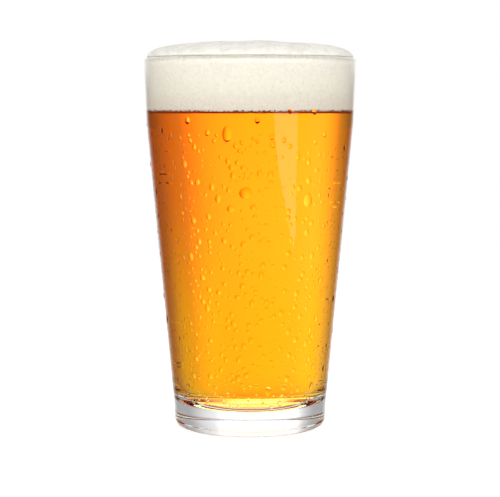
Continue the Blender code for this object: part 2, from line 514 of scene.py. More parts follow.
@dataclass(frozen=True)
class CreamFoam:
    """Matt cream foam, yellower towards the beer, with a flecked line where it lies on it: foam wet with
    beer, painted dark red-brown as shade. Small pit-like spots and the hollows of the dome's froth get
    painted shade as well.

    The pair of numbers after a grain is where its noise starts to count and where it counts in full.
    """

    light: Colour = (0.95, 0.926, 0.855)
    dark: Colour = (0.96, 0.932, 0.825)
    # Foam wet with beer, painted dark red-brown as the shade along the line where the head meets the beer.
    soaked_shade: Colour = (0.34, 0.12, 0.03)
    level: float = 128.1 * MM
    line_softness: float = 0.15 * MM
    fleck_grain: float = 1.0 * MM
    fleck_reach: float = 1.4 * MM
    low: float = 127.0 * MM
    high: float = 146.0 * MM
    brim: float = 149.0 * MM
    above_brim: Span = (-0.2 * MM, 0.6 * MM)
    cloud_grain: float = 9.0 * MM
    clouding: float = 0.5
    speckling: float = 1.2
    speckle_shift: float = -0.75
    bubbles_per_metre: float = 1000.0
    bubble_depth: float = 0.2 * MM
    mottle_grain: float = 1.3 * MM
    mottle_span: Span = (0.7, 0.3)
    mottle_detail: float = 3.0
    mottling: float = 0.06
    # Painted shade in small pit-like spots, as between bubbles: their size, where the noise counts, and how
    # much darker they are.
    pit_shade_grain: float = 1.2 * MM
    pit_shade_span: Span = (0.64, 0.76)
    pit_shade_detail: float = 1.0
    pit_shading: float = 0.10
    # The froth noise raises the dome's relief, and its hollows also get painted shade: where that starts
    # and is full, and how much darker they are.
    froth_grain: float = 5.0 * MM
    hollow_shade_span: Span = (0.62, 0.36)
    froth_detail: float = 4.0
    hollow_shading: float = 0.10
    froth_depth: float = 0.9 * MM
    roughness: float = 0.6
    rough_spread: float = 0.2
    gloss: float = 0.3

    def material(self) -> bpy.types.Material:
        """Makes the finish."""
        material, bench, shader = new_material("cream foam head")
        where = bench.add("ShaderNodeTexCoord").outputs["Object"]
        grain = bench.add("ShaderNodeGroup", node_tree=BubbleGrain().group())
        bench.tree.links.new(where, grain.inputs["Where"])
        grain.inputs["Bubbles per metre"].default_value = self.bubbles_per_metre
        height = bench.add("ShaderNodeSeparateXYZ", {"Vector": where}).outputs["Z"]
        froth = bench.noise(where, self.froth_grain, self.froth_detail)
        above = bench.ease(height, *(self.brim + step for step in self.above_brim))
        colour = self.dry_and_soaked_shade(bench, where, height, grain.outputs["Tone"])
        # Painted shade in the hollows of the froth on the dome above the brim.
        shade = self.shade(bench, where, bench.product(above, bench.ease(froth, *self.hollow_shade_span)))
        colour = bench.add("ShaderNodeVectorMath", {0: colour, 1: shade}, operation="MULTIPLY")
        rough = bench.math("MULTIPLY_ADD", grain.outputs["Tone"], self.rough_spread, self.roughness)
        swell = bench.product(above, froth, self.froth_depth)
        bubbles = bench.product(grain.outputs["Height"], self.bubble_depth)
        relief = {"Strength": 1.0, "Distance": 1.0, "Height": bench.math("ADD", swell, bubbles)}
        bump = bench.add("ShaderNodeBump", relief)
        bench.tree.links.new(colour.outputs["Vector"], shader.inputs["Base Color"])
        bench.tree.links.new(rough, shader.inputs["Roughness"])
        bench.tree.links.new(bump.outputs["Normal"], shader.inputs["Normal"])
        shader.inputs["Specular IOR Level"].default_value = self.gloss
        return material

    def dry_and_soaked_shade(self, bench: Bench, where: bpy.types.NodeSocket, height: bpy.types.NodeSocket,
                    tone: bpy.types.NodeSocket) -> bpy.types.NodeSocket:
        """The colour before the painted shade of the spots and hollows: dry foam, and along the line of the
        beer a flecked band of foam wet with beer, painted dark red-brown as shade.

        Args:
            bench: the material's bench.
            where: the coordinates.
            height: the height.
            tone: the tone of the fine bubbles.

        Returns:
            The colour's socket.
        """
        up = bench.ease(height, self.low, self.high)
        clouds = bench.noise(where, self.cloud_grain)
        cloudy = bench.math("MULTIPLY_ADD", clouds, self.clouding, -self.clouding / 2.0)
        speckle = bench.math("MULTIPLY_ADD", tone, self.speckling, self.speckle_shift)
        share = bench.math("ADD", bench.math("ADD", up, cloudy), speckle, clamp=True)
        dry = bench.blend(share, self.dark, self.light)
        flecks = bench.noise(where, self.fleck_grain)
        raised = bench.math("ADD", height, self.fleck_reach)
        wet = bench.math("MULTIPLY_ADD", flecks, -2.0 * self.fleck_reach, raised)
        # Painted shade: a flecked dark band along the line where the head meets the beer.
        line = bench.ease(wet, self.level + self.line_softness, self.level - self.line_softness)
        return bench.blend(line, dry, self.soaked_shade)

    def shade(self, bench: Bench, where: bpy.types.NodeSocket,
              hollow_shade: bpy.types.NodeSocket) -> bpy.types.NodeSocket:
        """How much of the colour is kept: darker in random mottled patches, with painted shade in small
        pit-like spots and in the hollows of the dome's froth.

        Args:
            bench: the material's bench.
            where: the coordinates.
            hollow_shade: where the dome gets painted shade in the hollows of its froth, from 0 to 1.

        Returns:
            The shade's socket.
        """
        mottle = bench.noise(where, self.mottle_grain, self.mottle_detail)
        mottle = bench.ease(mottle, *self.mottle_span, 1.0, 1.0 - self.mottling)
        # Painted shade in small pit-like spots.
        pit_shade = bench.noise(where, self.pit_shade_grain, self.pit_shade_detail)
        pit_shade = bench.ease(pit_shade, *self.pit_shade_span, 1.0, 1.0 - self.pit_shading)
        return bench.product(mottle, pit_shade, bench.rest(bench.product(hollow_shade, self.hollow_shading)))


@dataclass
class Glass:
    """The glass: turned from its outline, with small notches in the ring that it stands on."""

    shape: GlassShape = field(default_factory=GlassShape)
    finish: ClearGlass = field(default_factory=ClearGlass)
    segments: int = 360
    wetted_to: float = 148.3 * MM
    notches: int = 72
    notch_depth: float = 0.35 * MM
    notch_sharpness: float = 1.5
    ring_margin: float = 0.2 * MM
    face_margin: float = 0.3 * MM
    corner_steps: int = 24
    wall_steps: int = 16
    lip_steps: int = 20
    band_steps: int = 4
    taper_steps: int = 12
    heel_steps: int = 14
    ring_steps: int = 4
    hollow_steps: int = 6

    def profile(self) -> Profile:
        """The cut, from the middle of the inner bottom over the lip to the middle of the underside."""
        shape = self.shape
        lip_centre = shape.lip_centre()
        heel_centre = (shape.outer_radii[0] - shape.heel_rounding, shape.heel_rounding)
        band = (shape.outer_radius(shape.band_height), shape.band_height)
        foot = (shape.outer_radius(shape.foot_height), shape.foot_height)
        hollow_edge = shape.ring_inner_radius - shape.hollow_slope
        cut = shape.bowl(lip_centre[1], 0.0, self.corner_steps, self.wall_steps)
        cut += arc(lip_centre, shape.lip_rounding, 180.0, 0.0, self.lip_steps)[1:]
        cut += stretch(cut[-1], band, self.band_steps)
        cut += stretch(band, foot, self.taper_steps)
        cut += arc(heel_centre, shape.heel_rounding, 0.0, -90.0, self.heel_steps)
        cut += stretch(cut[-1], (shape.ring_inner_radius, 0.0), self.ring_steps)
        cut += [(hollow_edge, shape.hollow_depth / 2.0)]
        cut += stretch(cut[-1], (0.0, shape.hollow_depth), self.hollow_steps)
        return cut

    def notched(self, rings: np.ndarray) -> np.ndarray:
        """Cuts the notches up into the flat ring of the foot.

        Args:
            rings: the turned points.

        Returns:
            The points with the notches.
        """
        radius = np.hypot(rings[..., 0], rings[..., 1])
        turn = np.arctan2(rings[..., 1], rings[..., 0])
        flat = rings[..., 2] < 0.01 * MM
        on_ring = flat & (radius > self.shape.ring_inner_radius + self.ring_margin)
        pulse = np.clip(np.cos(turn * self.notches) * self.notch_sharpness, 0.0, 1.0)
        rings[..., 2] += np.where(on_ring, pulse * self.notch_depth, 0.0)
        return rings

    def build(self) -> bpy.types.Object:
        """Builds and dresses the glass."""
        lathe = Lathe(self.segments)
        piece = lathe.solid("clear_glass", self.notched(lathe.turned(self.profile())))
        piece.data.materials.append(self.finish.material())
        piece.data.materials.append(self.finish.wetted())
        self.mark_wetted(piece.data)
        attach(piece, BODY)
        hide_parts("glass")
        return piece

    def mark_wetted(self, mesh: bpy.types.Mesh) -> None:
        """Gives the inner faces below the rim their own finish."""
        for face in mesh.polygons:
            middle = face.center
            reach = self.shape.inner_radius(middle.z) + self.face_margin
            above_bottom = middle.z > self.shape.bottom - self.face_margin / 3.0
            if math.hypot(middle.x, middle.y) < reach and above_bottom and middle.z < self.wetted_to:
                face.material_index = 1


@dataclass
class Beer:
    """The beer: it reaches just into the wall, and its top lies hidden in the foam."""

    shape: GlassShape = field(default_factory=GlassShape)
    finish: GoldenBeer = field(default_factory=GoldenBeer)
    segments: int = 360
    top: float = 128.6 * MM
    into_wall: float = 0.15 * MM
    steps: int = 24
    top_steps: int = 8
    crease: float = math.radians(50.0)

    def build(self) -> bpy.types.Object:
        """Builds and dresses the beer."""
        cut = self.shape.bowl(self.top, self.into_wall, self.steps, self.steps)
        cut += stretch(cut[-1], (0.0, self.top), self.top_steps)
        lathe = Lathe(self.segments)
        piece = lathe.solid("golden_beer", lathe.turned(cut[::-1]))
        piece.data.set_sharp_from_angle(angle=self.crease)
        piece.data.materials.append(self.finish.material())
        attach(piece, BODY)
        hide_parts("beer")
        return piece


@dataclass
class Bumps:
    """Round bumps scattered over a piece: the middle of each and its radius."""

    middles: np.ndarray
    radii: np.ndarray
    sunk: float = 0.45
    batch: int = 1500

    def height_at(self, points: np.ndarray) -> np.ndarray:
        """How far the bumps stand out.

        Args:
            points: places on the smooth piece, one row each.

        Returns:
            The height at each place, 0 where there is no bump.
        """
        heights = np.zeros(len(points))
        for start in range(0, len(points), self.batch):
            part = points[start:start + self.batch]
            apart = ((part[:, None, :] - self.middles[None, :, :]) ** 2).sum(axis=2)
            caps = np.sqrt(np.clip(self.radii**2 - apart, 0.0, None)) - self.sunk * self.radii
            heights[start:start + self.batch] = np.clip(caps, 0.0, None).max(axis=1)
        return heights


@dataclass
class FoamHead:
    """The head: an uneven dome over the brim, a side pressed against the glass and a sagging underside."""

    shape: GlassShape = field(default_factory=GlassShape)
    finish: CreamFoam = field(default_factory=CreamFoam)
    segments: int = 480
    level: float = 128.0 * MM
    lip_gap: float = 0.05 * MM
    rise: float = 5.85 * MM
    shoulder_power: float = 4.0
    crown_power: float = 0.45
    peak: float = 0.9 * MM
    peak_radius: float = 15.0 * MM
    lump: float = 0.35 * MM
    lump_lengths: tuple[float, float, float] = (6.1 * MM, 8.3 * MM, 9.7 * MM)
    lump_starts: Span = (0.8, -0.5)
    slanting_lump: float = 0.6
    slant: float = 1.7
    into_wall: float = 0.25 * MM
    side_start: float = 0.3 * MM
    sag: float = 0.55 * MM
    sag_width: float = 2.5 * MM
    sag_power: float = 1.3
    ragged: float = 0.3 * MM
    ragged_reach: float = 2.0 * MM
    ragged_waves: tuple[int, ...] = (5, 13, 31, 67, 101, 149)
    dome_rings: int = 96
    lip_steps: int = 8
    lip_end: float = 160.0
    side_rings: int = 22
    under_rings: int = 34
    under_power: float = 1.6
    bubbles: int = 1500
    bubble_radii: Span = (0.3 * MM, 1.0 * MM)
    blisters: int = 150
    blister_radii: Span = (1.5 * MM, 3.2 * MM)
    blister_sunk: float = 0.82
    under_bubbles: int = 700
    under_radii: Span = (0.6 * MM, 1.6 * MM)
    small_share: float = 2.5
    seed: int = 7

    def edge(self) -> tuple[float, float]:
        """The dome's edge, which lies on the top of the lip, as radius out and height."""
        return (self.shape.lip_centre()[0], self.shape.height + self.lip_gap)

    def dome_height(self, radius: float) -> float:
        """The height of the smooth dome above its edge."""
        share = min(radius / self.edge()[0], 1.0)
        dome = self.rise * (1.0 - share**self.shoulder_power) ** self.crown_power
        return dome + self.peak * math.exp(-((radius / self.peak_radius) ** 2))

    def profile(self) -> Profile:
        """The cut, from the dome's middle down the wall to the middle of the underside."""
        cut = []
        edge_radius, edge_height = self.edge()
        lip = self.shape.lip_centre()
        for ring in range(self.dome_rings + 1):
            radius = edge_radius * math.sin(math.pi / 2.0 * ring / self.dome_rings)
            cut.append((radius, edge_height + self.dome_height(radius)))
        rounding = self.shape.lip_rounding + self.lip_gap
        cut += arc(lip, rounding, 90.0, self.lip_end, self.lip_steps)[1:]
        for height in np.linspace(lip[1] - self.side_start, self.level, self.side_rings):
            cut.append((self.shape.inner_radius(height) + self.into_wall, float(height)))
        edge = cut[-1][0]
        for ring in range(1, self.under_rings + 1):
            inward = edge * (ring / self.under_rings) ** self.under_power
            sag = self.sag * (1.0 - math.exp(-((inward / self.sag_width) ** self.sag_power)))
            cut.append((edge - inward, self.level - sag))
        return cut

    def scatter(self, draw: random.Random, count: int, radii: Span, under: bool) -> Bumps:
        """Scatters bubbles over the dome or the underside.

        Args:
            draw: the random draws.
            count: how many bubbles there are.
            radii: the smallest and largest radius.
            under: True for the underside.

        Returns:
            The bubbles as bumps.
        """
        middles, sizes = [], []
        for _ in range(count):
            radius = self.edge()[0] * math.sqrt(draw.random())
            turn = draw.uniform(0.0, math.tau)
            height = self.level - self.sag if under else self.edge()[1] + self.dome_height(radius)
            middles.append((radius * math.cos(turn), radius * math.sin(turn), height))
            sizes.append(radii[0] + (radii[1] - radii[0]) * draw.random() ** self.small_share)
        return Bumps(np.array(middles), np.array(sizes))

    def lumps(self, points: np.ndarray) -> np.ndarray:
        """The slow waves of the dome."""
        x, y = points[:, 0], points[:, 1]
        fade = 1.0 - (np.hypot(x, y) / self.edge()[0]) ** 2
        along, across, slanting = self.lump_lengths
        waves = np.sin(x / along + self.lump_starts[0]) * np.cos(y / across + self.lump_starts[1])
        waves += self.slanting_lump * np.sin((x + self.slant * y) / slanting)
        return self.lump * np.clip(fade, 0.0, 1.0) * waves

    def ragged_level(self, turn: np.ndarray, draw: random.Random) -> np.ndarray:
        """How far the line on the glass where foam meets beer strays up and down."""
        stray = np.zeros_like(turn)
        for waves in self.ragged_waves:
            stray += math.sqrt(1.0 / waves) * np.sin(waves * turn + draw.uniform(0.0, math.tau))
        return self.ragged * stray

    def build(self) -> bpy.types.Object:
        """Builds and dresses the head."""
        draw = random.Random(self.seed)
        lathe = Lathe(self.segments)
        cut = self.profile()
        rings = lathe.turned(cut)
        flat = rings.reshape(-1, 3)
        slopes = np.gradient(np.array(cut), axis=0)
        normals = np.stack((-slopes[:, 1], slopes[:, 0]), axis=1)
        normals /= np.linalg.norm(normals, axis=1)[:, None]
        normals = np.repeat(normals, self.segments, axis=0)
        turn = np.arctan2(flat[:, 1], flat[:, 0])
        rows = np.repeat(np.arange(len(cut)), self.segments)
        out = np.zeros(len(flat))
        on_dome = rows <= self.dome_rings
        under = rows >= self.dome_rings + self.lip_steps + self.side_rings
        bubbles = self.scatter(draw, self.bubbles, self.bubble_radii, False)
        blisters = self.scatter(draw, self.blisters, self.blister_radii, False)
        blisters.sunk = self.blister_sunk
        out[on_dome] = bubbles.height_at(flat[on_dome]) + blisters.height_at(flat[on_dome])
        below = self.scatter(draw, self.under_bubbles, self.under_radii, True)
        out[under] = below.height_at(flat[under])
        lift = np.where(on_dome, self.lumps(flat), 0.0)
        below_reach = self.level + self.ragged_reach - flat[:, 2]
        near_line = np.clip(below_reach / self.ragged_reach, 0.0, 1.0)
        lift += np.where(on_dome, 0.0, near_line * self.ragged_level(turn, draw))
        outward = np.stack((np.cos(turn), np.sin(turn)), axis=1)
        flat[:, :2] += outward * (normals[:, :1] * -out[:, None])
        flat[:, 2] += lift - normals[:, 1] * out
        piece = lathe.solid("foam_head", flat.reshape(rings.shape))
        piece.data.materials.append(self.finish.material())
        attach(piece, BODY)
        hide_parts("foam")
        return piece


@dataclass(frozen=True)
class Bead:
    """One bead of water: radians round from the front, height, width and how tall it is for its width."""

    angle: float
    height: float
    width: float
    tallness: float


@dataclass
class WaterBeads:
    """The beads of water on the outside: those of the solid, and many finer ones between them.

    A bead in large and on_the_line is given as degrees round from the front, height, width and how tall
    it is for its width. Fine beads lie thicker low down and on the glass's left.
    """

    shape: GlassShape = field(default_factory=GlassShape)
    finish: ClearWater = field(default_factory=ClearWater)
    low: float = 14.5 * MM
    high: float = 126.0 * MM
    seed: int = 16
    count: int = 150
    front: float = math.radians(105.0)
    middle: float = math.radians(52.0)
    widths: tuple[float, float] = (1.5 * MM, 2.9 * MM)
    tallness: tuple[float, float] = (1.0, 1.35)
    wander: float = 4.5 * MM
    clearance: float = 0.5 * MM
    fine_count: int = 3600
    fine_widths: tuple[float, float] = (0.6 * MM, 2.4 * MM)
    fine_clearance: float = 0.15 * MM
    fine_tallness: Span = (0.9, 1.4)
    fine_low: float = 12.5 * MM
    fine_power: float = 1.3
    near: float = 6.0 * MM
    thickness: float = 0.55
    thicker_low: float = 0.4
    thicker_left: float = 0.15
    thinner_behind: float = 0.5
    back_width: float = 0.8 * MM
    proud: float = 0.275
    side_proud: float = 0.08
    flattened: Span = (0.7, 1.3)
    wobbles: Span = (0.10, 0.06)
    detail: tuple[tuple[float, int, int], ...] = ((3.2 * MM, 20, 6), (1.6 * MM, 12, 4), (0.0, 9, 3))
    crease: float = math.radians(55.0)
    fine_high: float = 119.5 * MM
    on_the_line: tuple[tuple[float, float, float, float], ...] = (
        (21.2, 127.9 * MM, 1.9 * MM, 1.1),
        (36.0, 127.6 * MM, 2.2 * MM, 1.0),
    )
    sunk: float = 0.05 * MM
    large: tuple[tuple[float, float, float, float], ...] = (
        (-12.2, 119.4 * MM, 3.8 * MM, 1.6),
        (-2.4, 96.9 * MM, 5.2 * MM, 0.85),
        (35.0, 93.8 * MM, 3.9 * MM, 1.4),
    )

    def apart(self, bead: Bead, other: Bead, clearance: float) -> bool:
        """True if two beads keep clear of each other."""
        turn = math.remainder(bead.angle - other.angle, math.tau)
        gap = math.hypot(turn * self.shape.outer_radius(bead.height), bead.height - other.height)
        reach = sum(each.width * max(each.tallness, 1.0) / 2.0 for each in (bead, other))
        return gap > reach + clearance

    def on_front(self, bead: Bead) -> bool:
        """True for a bead on the front or the sides."""
        return abs(math.remainder(bead.angle, math.tau)) < self.front

    def solid_beads(self) -> list[Bead]:
        """The beads that the solid has, by the same rule and draws."""
        draw = random.Random(self.seed)
        golden_turn = math.pi * (3.0 - math.sqrt(5.0))
        beads = [Bead(math.radians(degrees), *rest) for degrees, *rest in self.large]
        for index in range(self.count):
            height = self.low + (self.high - self.low) * (index + 0.5) / self.count
            height += draw.uniform(-1.0, 1.0) * self.wander
            stray = draw.uniform(-1.0, 1.0) * self.wander / self.shape.outer_radius(height)
            width = self.widths[0] + (self.widths[1] - self.widths[0]) * draw.random() ** 2
            bead = Bead(index * golden_turn + stray, height, width, draw.uniform(*self.tallness))
            clear = all(self.apart(bead, other, self.clearance) for other in beads)
            if self.on_front(bead) and self.low < height < self.high and clear:
                beads.append(bead)
        return beads

    def fine_beads(self, placed: list[Bead]) -> list[Bead]:
        """Finer beads in the space that the larger ones leave.

        Args:
            placed: the beads that are there.

        Returns:
            The finer beads.
        """
        draw = random.Random(self.seed + 1)
        beads = [Bead(math.radians(degrees), *rest) for degrees, *rest in self.on_the_line]
        for _ in range(self.fine_count):
            height = draw.uniform(self.fine_low, self.fine_high)
            angle = draw.uniform(-math.pi, math.pi)
            down = (self.high - height) / (self.high - self.low)
            thick = self.thickness + self.thicker_low * down - self.thicker_left * math.sin(angle)
            if abs(angle) > self.front:
                thick *= self.thinner_behind
            if draw.random() > thick:
                continue
            widest = self.fine_widths[1] if abs(angle) < self.middle else self.back_width
            width = self.fine_widths[0] + (widest - self.fine_widths[0]) * draw.random() ** self.fine_power
            bead = Bead(angle, height, width, draw.uniform(*self.fine_tallness))
            near = [other for other in placed + beads if abs(other.height - height) < self.near]
            if all(self.apart(bead, other, self.fine_clearance) for other in near):
                beads.append(bead)
        return beads

    def cap(self, bead: Bead, draw: random.Random) -> tuple[np.ndarray, list[tuple[int, ...]]]:
        """One bead as a low dome that follows the wall, closed behind.

        Args:
            bead: the bead.
            draw: the random draws for its outline.

        Returns:
            Its corners and its faces.
        """
        sides, steps = next(counts for width, *counts in self.detail if bead.width > width)
        turns = np.arange(sides) * math.tau / sides
        wobble = np.ones(sides)
        for waves, most in enumerate(self.wobbles, start=2):
            wobble += draw.uniform(0.0, most) * np.cos(waves * turns + draw.uniform(0.0, math.tau))
        aside = abs(math.remainder(bead.angle, math.tau)) / self.middle
        proud = float(np.interp(aside, self.flattened, (self.proud, self.side_proud)))
        rounding = math.atan(2.0 * proud) * 2.0
        sphere = bead.width / 2.0 / math.sin(rounding)
        shares = np.sin(np.linspace(0.0, 1.0, steps + 1)[1:] * math.pi / 2.0)
        rings = []
        for share in shares:
            across_cap = share * bead.width / 2.0
            out = math.sqrt(max(sphere**2 - across_cap**2, 0.0)) - sphere * math.cos(rounding)
            rings.append((share, max(out, 0.0)))
        rings.append((1.0, -self.sunk))
        across, up, out = [0.0], [0.0], [sphere * (1.0 - math.cos(rounding))]
        for share, stand in rings:
            across += list(bead.width / 2.0 * share * wobble * np.cos(turns))
            up += list(bead.width / 2.0 * bead.tallness * share * wobble * np.sin(turns))
            out += [stand] * sides
        across.append(0.0)
        up.append(0.0)
        out.append(-self.sunk)
        points = self.on_wall(bead, np.array(across), np.array(up), np.array(out))
        faces = [(0, 1 + here, 1 + (here + 1) % sides) for here in range(sides)]
        for ring in range(len(rings) - 1):
            low, high = 1 + ring * sides, 1 + (ring + 1) * sides
            for here in range(sides):
                there = (here + 1) % sides
                faces.append((low + here, high + here, high + there, low + there))
        last, start = len(points) - 1, 1 + (len(rings) - 1) * sides
        faces += [(last, start + (here + 1) % sides, start + here) for here in range(sides)]
        return points, faces

    def on_wall(self, bead: Bead, across: np.ndarray, up: np.ndarray,
                out: np.ndarray) -> np.ndarray:
        """Lays a bead's own coordinates on the wall.

        Args:
            bead: the bead.
            across: distances round the glass.
            up: distances up the glass.
            out: distances out of the wall.

        Returns:
            The places, one row each.
        """
        heights = bead.height + up
        radii = np.interp(heights, self.shape.outer_heights, self.shape.outer_radii)
        wider = self.shape.outer_radius(bead.height + MM) - self.shape.outer_radius(bead.height - MM)
        slope = math.atan2(wider, 2.0 * MM)
        turns = bead.angle + across / radii
        reach = radii + out * math.cos(slope)
        up_the_wall = heights - out * math.sin(slope)
        return np.stack((reach * np.sin(turns), -reach * np.cos(turns), up_the_wall), axis=1)

    def build(self) -> bpy.types.Object:
        """Builds and dresses the beads."""
        beads = self.solid_beads()
        beads += self.fine_beads(beads)
        draw = random.Random(self.seed + 2)
        points, faces, count = [], [], 0
        for bead in beads:
            corners, sides = self.cap(bead, draw)
            points.append(corners)
            faces += [tuple(corner + count for corner in side) for side in sides]
            count += len(corners)
        piece = closed_mesh("water_beads", np.concatenate(points), faces)
        piece.data.set_sharp_from_angle(angle=self.crease)
        piece.data.materials.append(self.finish.material())
        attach(piece, BODY)
        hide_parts("glass")
        log.info("beads of water: %d", len(beads))
        return piece


@dataclass
class PhotoCamera:
    """The camera: in front of the glass, looking a little down."""

    place: tuple[float, float, float] = (0.0, -635.4 * MM, 133.0 * MM)
    target: tuple[float, float, float] = (0.0, 0.0, 72.0 * MM)
    lens: float = 112.85
    sensor: float = 36.0
    sees_from: float = 0.01
    sees_to: float = 20.0

    def build(self) -> bpy.types.Object:
        """Builds the camera and makes it the scene's own."""
        data = bpy.data.cameras.new("camera")
        data.lens = self.lens
        data.sensor_width = self.sensor
        data.clip_start = self.sees_from
        data.clip_end = self.sees_to
        camera = bpy.data.objects.new("camera", data)
        bpy.context.scene.collection.objects.link(camera)
        camera.location = self.place
        look = Vector(self.target) - Vector(self.place)
        camera.rotation_euler = look.to_track_quat("-Z", "Y").to_euler()
        bpy.context.scene.camera = camera
        return camera

    def reach(self) -> float:
        """How far the camera is from its target."""
        return (Vector(self.target) - Vector(self.place)).length


def hide_from(thing: bpy.types.Object, *rays: Ray) -> None:
    """Hides a studio object from some kinds of ray."""
    for ray in rays:
        setattr(thing, ray.value, False)


@dataclass(frozen=True)
class BackLight:
    """The light of the screen behind the glass, by degrees round and millimetres up.

    The glass turns what is behind it left to right, so the screen's right is seen at the glass's left.
    Each span is a fade: the place where it is 0, then the place where it is full.
    """

    bright: float = 2.05
    climb: float = 0.0115
    dim: float = 0.42
    patch_left: Span = (-29.0, -3.0)
    patch_right: Span = (16.0, -1.0)
    top: Span = (275.0, 110.0)
    top_share: float = 0.12
    halo: float = 0.5
    halo_left: Span = (-40.0, -16.0)
    halo_right: Span = (36.0, 12.0)
    edge: float = 0.45
    edge_across: Span = (-17.0, -30.0)
    edge_up: Span = (130.0, 10.0)
    faces_of_bare_glass: float = 5.5
    bare_most: float = 1.15
    foot: float = 0.85
    foot_up: Span = (-90.0, -120.0)
    mirror: Span = (47.0, 22.0)
    wide_mirror: Span = (64.0, 30.0)
    wide_mirror_up: Span = (72.0, 98.0)
    low_mirror: Span = (-190.0, -90.0)
    low_mirror_share: float = 0.14
    warmth: Colour = (1.0, 0.78, 0.8)
    warmth_across: Span = (13.0, 24.0)
    warmth_up: Span = (-40.0, 60.0)
    straw: Colour = (1.11, 1.42, 1.05)
    near_straw: tuple[Span, Span] = ((2.0, 12.0), (33.0, 20.0))
    near_straw_up: Span = (50.0, -30.0)
    far_straw: Span = (-8.0, -21.0)
    far_straw_up: Span = (120.0, 0.0)
    far_straw_share: float = 0.5
    low_blue: float = 0.3
    low_blue_across: Span = (32.0, 18.0)
    low_blue_up: Span = (60.0, -40.0)
    rust: Colour = (0.62, 0.2, 0.07)
    rust_up: Span = (-160.0, -195.0)
    on_foam: float = 0.74

    def material(self) -> bpy.types.Material:
        """Makes the light as a material that reads the screen's own layout, named "screen"."""
        material = bpy.data.materials.new("back light")
        material.use_nodes = True
        tree = material.node_tree
        tree.nodes.remove(tree.nodes["Principled BSDF"])
        bench = Bench(tree)
        place = bench.add("ShaderNodeUVMap", uv_map="screen").outputs["UV"]
        split = bench.add("ShaderNodeSeparateXYZ", {"Vector": place}).outputs
        across, up = split["X"], split["Y"]
        path = bench.add("ShaderNodeLightPath").outputs
        beer_only = bench.math("GREATER_THAN", path["Transmission Depth"], self.faces_of_bare_glass)
        foam_only = bench.math("GREATER_THAN", path["Diffuse Depth"], 0.5)
        behind = self.behind(bench, across, up, beer_only)
        change = bench.math("SUBTRACT", self.mirrored(bench, across, up), behind)
        strength = bench.math("ADD", behind, bench.product(bench.mirrored_ray(), change))
        even = bench.math("SUBTRACT", self.on_foam, strength)
        strength = bench.math("MULTIPLY_ADD", foam_only, even, strength)
        rust = bench.product(bench.ease(up, *self.rust_up), path["Is Transmission Ray"])
        rust = bench.product(rust, bench.rest(beer_only), bench.rest(foam_only))
        tint = bench.blend(rust, self.beer_tint(bench, across, up, beer_only), self.rust)
        glow = bench.add("ShaderNodeEmission", {"Color": tint, "Strength": strength})
        tree.links.new(glow.outputs["Emission"], tree.nodes["Material Output"].inputs["Surface"])
        return material

    def behind(self, bench: Bench, across: bpy.types.NodeSocket, up: bpy.types.NodeSocket,
               beer_only: bpy.types.NodeSocket) -> bpy.types.NodeSocket:
        """How bright the screen is when it is seen through the beer, or through bare glass.

        Args:
            bench: the material's bench.
            across: degrees round.
            up: millimetres up.
            beer_only: 1 for rays that came through the beer.

        Returns:
            The brightness's socket.
        """
        patch = bench.product(bench.ease(across, *self.patch_left), bench.ease(across, *self.patch_right))
        climbing = bench.math("MULTIPLY_ADD", up, self.climb, self.bright)
        fading = bench.ease(up, *self.top, self.top_share, 1.0)
        patch = bench.product(patch, bench.product(climbing, fading))
        halo = bench.product(bench.ease(across, *self.halo_left), bench.ease(across, *self.halo_right))
        light = bench.math("MULTIPLY_ADD", halo, self.halo, bench.math("ADD", patch, self.dim))
        edge = bench.product(bench.ease(across, *self.edge_across), bench.ease(up, *self.edge_up))
        in_beer = bench.product(light, bench.math("MULTIPLY_ADD", edge, self.edge, 1.0))
        foot = bench.product(bench.ease(up, *self.foot_up), self.foot)
        in_glass = bench.math("MAXIMUM", bench.math("MINIMUM", light, self.bare_most), foot)
        in_glass = bench.product(in_glass, bench.rest(beer_only))
        return bench.math("ADD", bench.product(beer_only, in_beer), in_glass)

    def mirrored(self, bench: Bench, across: bpy.types.NodeSocket,
                 up: bpy.types.NodeSocket) -> bpy.types.NodeSocket:
        """How bright the screen is in the gloss of the glass.

        Args:
            bench: the material's bench.
            across: degrees round.
            up: millimetres up.

        Returns:
            The brightness's socket.
        """
        aside = bench.math("ABSOLUTE", across)
        wide = bench.product(bench.ease(aside, *self.wide_mirror), bench.ease(up, *self.wide_mirror_up))
        strip = bench.math("MAXIMUM", bench.ease(aside, *self.mirror), wide)
        return bench.product(strip, bench.ease(up, *self.low_mirror, self.low_mirror_share, 1.0))

    def beer_tint(self, bench: Bench, across: bpy.types.NodeSocket, up: bpy.types.NodeSocket,
                  beer_only: bpy.types.NodeSocket) -> bpy.types.NodeSocket:
        """The tint of the light that comes through the beer: warm, straw and short of blue in places.

        Args:
            bench: the material's bench.
            across: degrees round.
            up: millimetres up.
            beer_only: 1 for rays that came through the beer.

        Returns:
            The tint's socket.
        """
        warm = bench.product(bench.ease(across, *self.warmth_across), bench.ease(up, *self.warmth_up))
        tint = bench.blend(bench.product(warm, beer_only), (1.0, 1.0, 1.0), self.warmth)
        near = bench.product(*(bench.ease(across, *span) for span in self.near_straw))
        near = bench.product(near, bench.ease(up, *self.near_straw_up))
        far = bench.ease(up, *self.far_straw_up, self.far_straw_share, 1.0)
        far = bench.product(bench.ease(across, *self.far_straw), far)
        tint = bench.blend(bench.product(bench.math("MAXIMUM", near, far), beer_only), tint, self.straw)
        aside = bench.math("ABSOLUTE", across)
        short = bench.product(bench.ease(aside, *self.low_blue_across), bench.ease(up, *self.low_blue_up))
        blue = bench.math("MULTIPLY_ADD", bench.product(short, beer_only), self.low_blue - 1.0, 1.0)
        kept = bench.add("ShaderNodeCombineXYZ", {"X": 1.0, "Y": 1.0, "Z": blue}).outputs["Vector"]
        return bench.add("ShaderNodeVectorMath", {0: tint, 1: kept}, operation="MULTIPLY").outputs["Vector"]


